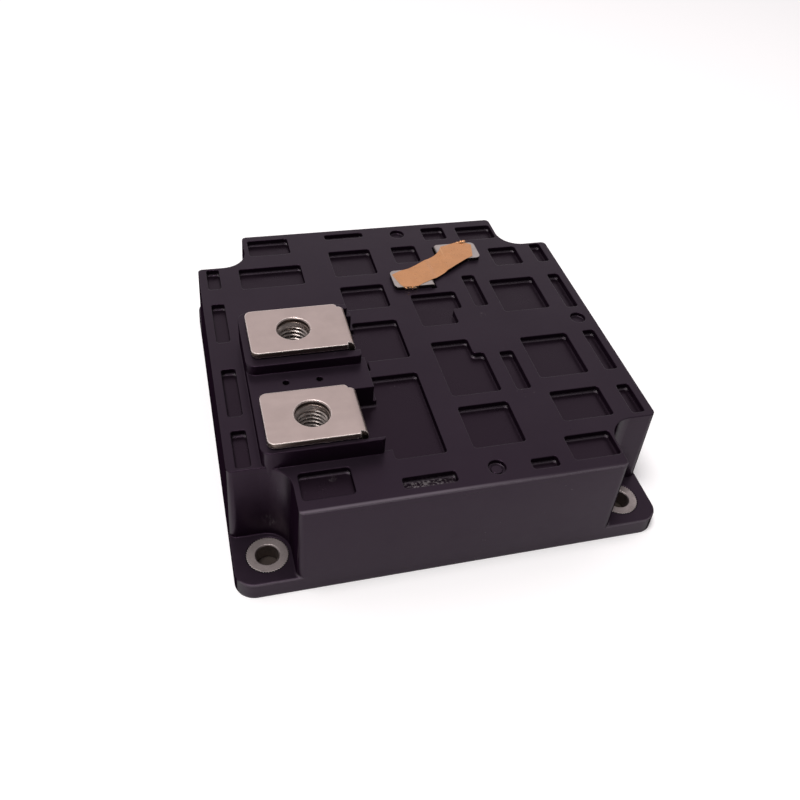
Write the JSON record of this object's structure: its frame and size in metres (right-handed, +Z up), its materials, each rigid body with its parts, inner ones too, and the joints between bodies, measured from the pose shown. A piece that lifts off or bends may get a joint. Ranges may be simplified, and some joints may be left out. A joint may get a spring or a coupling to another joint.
{
  "type": "igbt power module",
  "caption": "Square single-switch power module with bushed corner holes, stepped busbar terminals and foil-shorted gate tabs.",
  "frame": {"origin": "centre of the underside", "axes": "+X right along the front edge, +Y to the rear, +Z up out of the terminal face"},
  "size_m": [0.11, 0.11, 0.0377],
  "materials": {
    "moulding": "fine moulded texture, slightly glossy black",
    "bushing_steel": "turned and knurled, dull plating",
    "busbar_nickel": "satin nickel plating over copper",
    "tab_tin": "tinned copper, satin",
    "nut_steel": "zinc plated, slightly dull",
    "foil_copper": "bare copper foil, creased",
    "base_nickel": "nickel plated copper",
    "bonded_copper": "bare copper",
    "ceramic": "white ceramic, satin",
    "silicon": "metallised silicon",
    "bond_aluminium": "soft drawn aluminium",
    "gel": "clear soft silicone"
  },
  "bodies": {
    "root": {"housing": "moulding", "base_plate": "base_nickel", "mounting_bushing_1": "bushing_steel", "mounting_bushing_2": "bushing_steel", "mounting_bushing_3": "bushing_steel", "mounting_bushing_4": "bushing_steel", "collector_terminal": "busbar_nickel", "emitter_terminal": "busbar_nickel", "collector_nut": "nut_steel", "emitter_nut": "nut_steel", "gate_terminal": "tab_tin", "sense_terminal": "tab_tin", "gate_nut": "nut_steel", "sense_nut": "nut_steel", "shorting_foil": "foil_copper", "backing_copper_1": "bonded_copper", "ceramic_1": "ceramic", "circuit_copper_1": "bonded_copper", "backing_copper_2": "bonded_copper", "ceramic_2": "ceramic", "circuit_copper_2": "bonded_copper", "backing_copper_3": "bonded_copper", "ceramic_3": "ceramic", "circuit_copper_3": "bonded_copper", "backing_copper_4": "bonded_copper", "ceramic_4": "ceramic", "circuit_copper_4": "bonded_copper", "igbt_chip_1": "silicon", "diode_chip_1": "silicon", "igbt_chip_2": "silicon", "diode_chip_2": "silicon", "igbt_chip_3": "silicon", "diode_chip_3": "silicon", "igbt_chip_4": "silicon", "diode_chip_4": "silicon", "igbt_chip_5": "silicon", "diode_chip_5": "silicon", "igbt_chip_6": "silicon", "diode_chip_6": "silicon", "igbt_chip_7": "silicon", "diode_chip_7": "silicon", "igbt_chip_8": "silicon", "diode_chip_8": "silicon", "bond_ribbons_1": "bond_aluminium", "bond_ribbons_2": "bond_aluminium", "bond_ribbons_3": "bond_aluminium", "bond_ribbons_4": "bond_aluminium", "gate_links": "bond_aluminium", "silicone_gel": "gel"}
  },
  "joints": []
}
